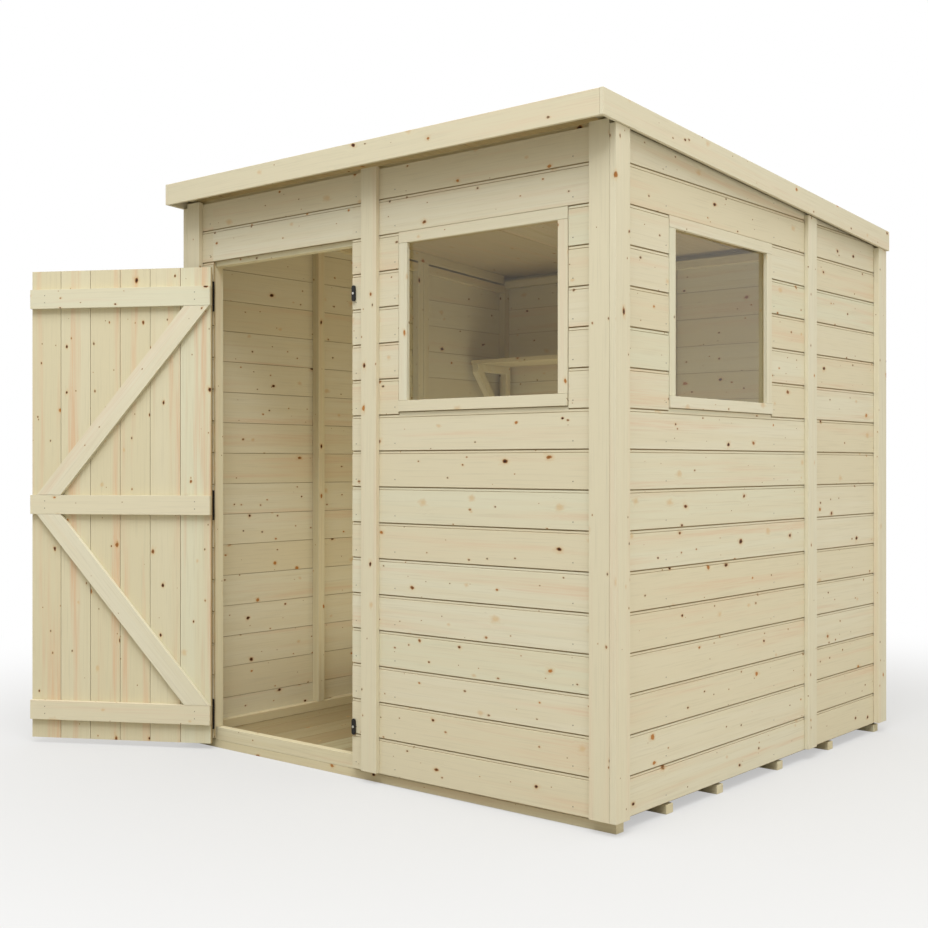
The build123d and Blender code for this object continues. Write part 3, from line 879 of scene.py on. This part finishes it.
lap_line = felt_front + upper_length
lower_strip = felt_strip(lap_line - felt_lap, felt_back, 0.0)
upper_strip = felt_strip(felt_front, lap_line, felt_thick)
finish_piece("felt_strips", [upper_strip, lower_strip], felt, "roof_felt", "shed", "roof_felt")
felt_out = Vector((0, felt_fall, 1)).normalized()
clout_spots = []
clout_left = deck_left + clout_inset
clout_right = deck_right - clout_inset
clout_front = felt_front + clout_inset
clout_back = felt_back - clout_inset


def clout(x, y):
    """One clout nail on the felt."""
    z = felt_top_front - (y - felt_front) * felt_fall
    clout_spots.append((Vector((x, y, z)), felt_out))


row_count = round((clout_right - clout_left) / clout_pitch)
for y in (clout_front, lap_line - clout_inset, clout_back):
    for number in range(row_count + 1):
        clout(clout_left + number * (clout_right - clout_left) / row_count, y)
edge_count = round((clout_back - clout_front) / clout_pitch)
for x in (clout_left, clout_right):
    for number in range(1, edge_count):
        clout(x, clout_front + number * (clout_back - clout_front) / edge_count)
heads("felt_clouts", clout_spots, clout_radius, clout_high, zinc, "screw_steel", "shed")


# Shelf: one board on two triangle brackets of batten, in the far left corner.
timbers("shelf_plank", framing, "frame_wood", "shed", "shelf_board")
timbers("shelf_supports", framing, "frame_wood", "shed", "shelf_brackets")


# Door: six upright tongued boards on three ledges and two braces. It is built
# shut in the wall's plane, and stands swung open on its hinges.
door_swing = 150.0
door_pitch = 0.115
door_joint = next(joint for joint in frame["joints"] if joint["name"] == "door_hinge")
hinge_line = Vector(door_joint["pos_m"])
to_hinge = Matrix.Translation(hinge_line)
turn_open = Matrix.Rotation(math.radians(-door_swing), 4, "Z")
swing = to_hinge @ turn_open @ to_hinge.inverted()
shut = swing.inverted()
door_wood = softwood(
    "door_wood", colour(217, 210, 183), colour(211, 201, 168), colour(212, 176, 140), 0.62, 0.75
)


def door_timbers(name, material, slot, node):
    """Door timbers from their CAD node, worked on shut and swung open again."""
    solids = frame_solids(node)
    for solid in solids:
        solid.data.transform(shut)
        ease(solid)
        lay_grain(solid)
        solid.data.transform(swing)
    return finish_piece(name, solids, material, slot, "door", node)


door_corners = [shut @ vertex.co for vertex in frame["nodes"]["door_boards"].data.vertices]
door_low = Vector([min(corner[axis] for corner in door_corners) for axis in range(3)])
door_high = Vector([max(corner[axis] for corner in door_corners) for axis in range(3)])
door_pattern = shiplap(door_pitch, "door_pattern")
stand_up = Matrix.Rotation(math.radians(-90), 4, "Y")
upward = Vector((0, 0, 1))
door_boards = []
for number in range(round((door_high.x - door_low.x) / door_pitch)):
    place = Matrix.Translation((door_high.x - number * door_pitch, door_high.y, 0))
    board = board_copy(door_pattern, door_low.z, door_high.z, place @ stand_up)
    cut_sides(board, door_low.x, door_high.x)
    lay_grain(board, upward)
    board.data.transform(swing)
    door_boards.append(board)
finish_piece("door_planks", door_boards, door_wood, "cladding_wood", "door", "door_boards")
door_timbers("door_ledge_boards", trim, "trim_wood", "door_ledges")
door_timbers("door_brace_boards", trim, "trim_wood", "door_braces")
bpy.data.objects.remove(door_pattern)
bpy.data.objects.remove(shiplap_pattern)
door_nails = []
inward = swing.to_3x3() @ Vector((0, 1, 0))
for ledge in frame_solids("door_ledges"):
    corners = [shut @ vertex.co for vertex in ledge.data.vertices]
    ledge_foot = min(corner.z for corner in corners)
    ledge_top = max(corner.z for corner in corners)
    ledge_face = max(corner.y for corner in corners)
    for x in (door_low.x + door_pitch / 2, door_high.x - door_pitch / 2):
        for z in (ledge_foot + nail_rise, ledge_top - nail_rise):
            door_nails.append((swing @ Vector((x, ledge_face - seam, z)), inward))
    bpy.data.objects.remove(ledge)
heads("ledge_nails", door_nails, nail_head, nail_proud, nail_steel, "screw_steel", "door")


# Ironwork: black lacquered tee hinges with pressed knuckles, screwed to the post and
# the door, and two small turn buttons that hold the door shut, each on one screw.
iron_arris = 0.0004
iron_grain = 380.0
iron_dark = colour(16, 16, 17)
iron_pale = colour(36, 35, 34)
iron_relief = 0.0003
screw_radius = 0.0038
screw_proud = 0.0009
screw_dome = 0.0016
leaf_screw_inset = 0.011
knuckle_reach = 0.1
iron = bpy.data.materials.new("black_iron")
iron.use_nodes = True
iron_tree = iron.node_tree
iron_shader = iron_tree.nodes["Principled BSDF"]
iron_shader.inputs["Metallic"].default_value = 0.35
iron_place = add(iron_tree, "ShaderNodeTexCoord").outputs["Object"]
iron_noise = noise(iron_tree, iron_place, iron_grain, 3.0)
iron_colour = blend(iron_tree, iron_noise, iron_dark, iron_pale)
iron_tree.links.new(iron_colour, iron_shader.inputs["Base Color"])
iron_dullness = fade(iron_tree, iron_noise, low=0.3, high=0.7, start=0.34, end=0.55)
iron_tree.links.new(iron_dullness, iron_shader.inputs["Roughness"])
iron_bump = {"Height": iron_noise, "Strength": 0.3, "Distance": iron_relief}
iron_bump = add(iron_tree, "ShaderNodeBump", iron_bump)
iron_tree.links.new(iron_bump.outputs[0], iron_shader.inputs["Normal"])


def ironwork(name, material, slot, body, *nodes):
    """Metal pieces from their CAD nodes, with their sharp edges broken."""
    solids = frame_solids(*nodes)
    for solid in solids:
        ease(solid, iron_arris, arris_segments, 0.0)
    return finish_piece(name, solids, material, slot, body, *nodes)


ironwork("hinge_plates", iron, "black_iron", "shed", "hinge_leaves")
ironwork("hinge_arms", iron, "black_iron", "door", "hinge_straps")
outward = Vector((0, -1, 0))
leaf_screws = []
for leaf in frame_solids("hinge_leaves"):
    corners = [vertex.co for vertex in leaf.data.vertices]
    leaf_left = min(corner.x for corner in corners)
    leaf_face = min(corner.y for corner in corners)
    leaf_foot = min(corner.z for corner in corners)
    leaf_top = max(corner.z for corner in corners)
    for share in (0.12, 0.5, 0.88):
        z = leaf_foot + share * (leaf_top - leaf_foot)
        leaf_screws.append((Vector((leaf_left + leaf_screw_inset, leaf_face, z)), outward))
    bpy.data.objects.remove(leaf)
heads("leaf_screws", leaf_screws, screw_radius, screw_proud, iron, "black_iron", "shed", screw_dome)
strap_screws = []
for strap in frame_solids("hinge_straps"):
    corners = [shut @ vertex.co for vertex in strap.data.vertices]
    strap_left = min(corner.x for corner in corners)
    strap_right = max(corner.x for corner in corners)
    strap_face = min(corner.y for corner in corners if corner.x > strap_left + knuckle_reach)
    strap_foot = min(corner.z for corner in corners)
    strap_top = max(corner.z for corner in corners)
    for share in (0.13, 0.42, 0.7, 0.94):
        x = strap_left + share * (strap_right - strap_left)
        spot = Vector((x, strap_face, (strap_foot + strap_top) / 2))
        strap_screws.append((swing @ spot, swing.to_3x3() @ outward))
    bpy.data.objects.remove(strap)
heads("strap_screws", strap_screws, screw_radius, screw_proud, iron, "black_iron", "door", screw_dome)
ironwork("turn_button_plate_low", iron, "black_iron", "low_button", "turn_button_low")
ironwork("turn_button_plate_high", iron, "black_iron", "high_button", "turn_button_high")
ironwork("turn_button_screws", zinc, "screw_steel", "shed", "button_screws")
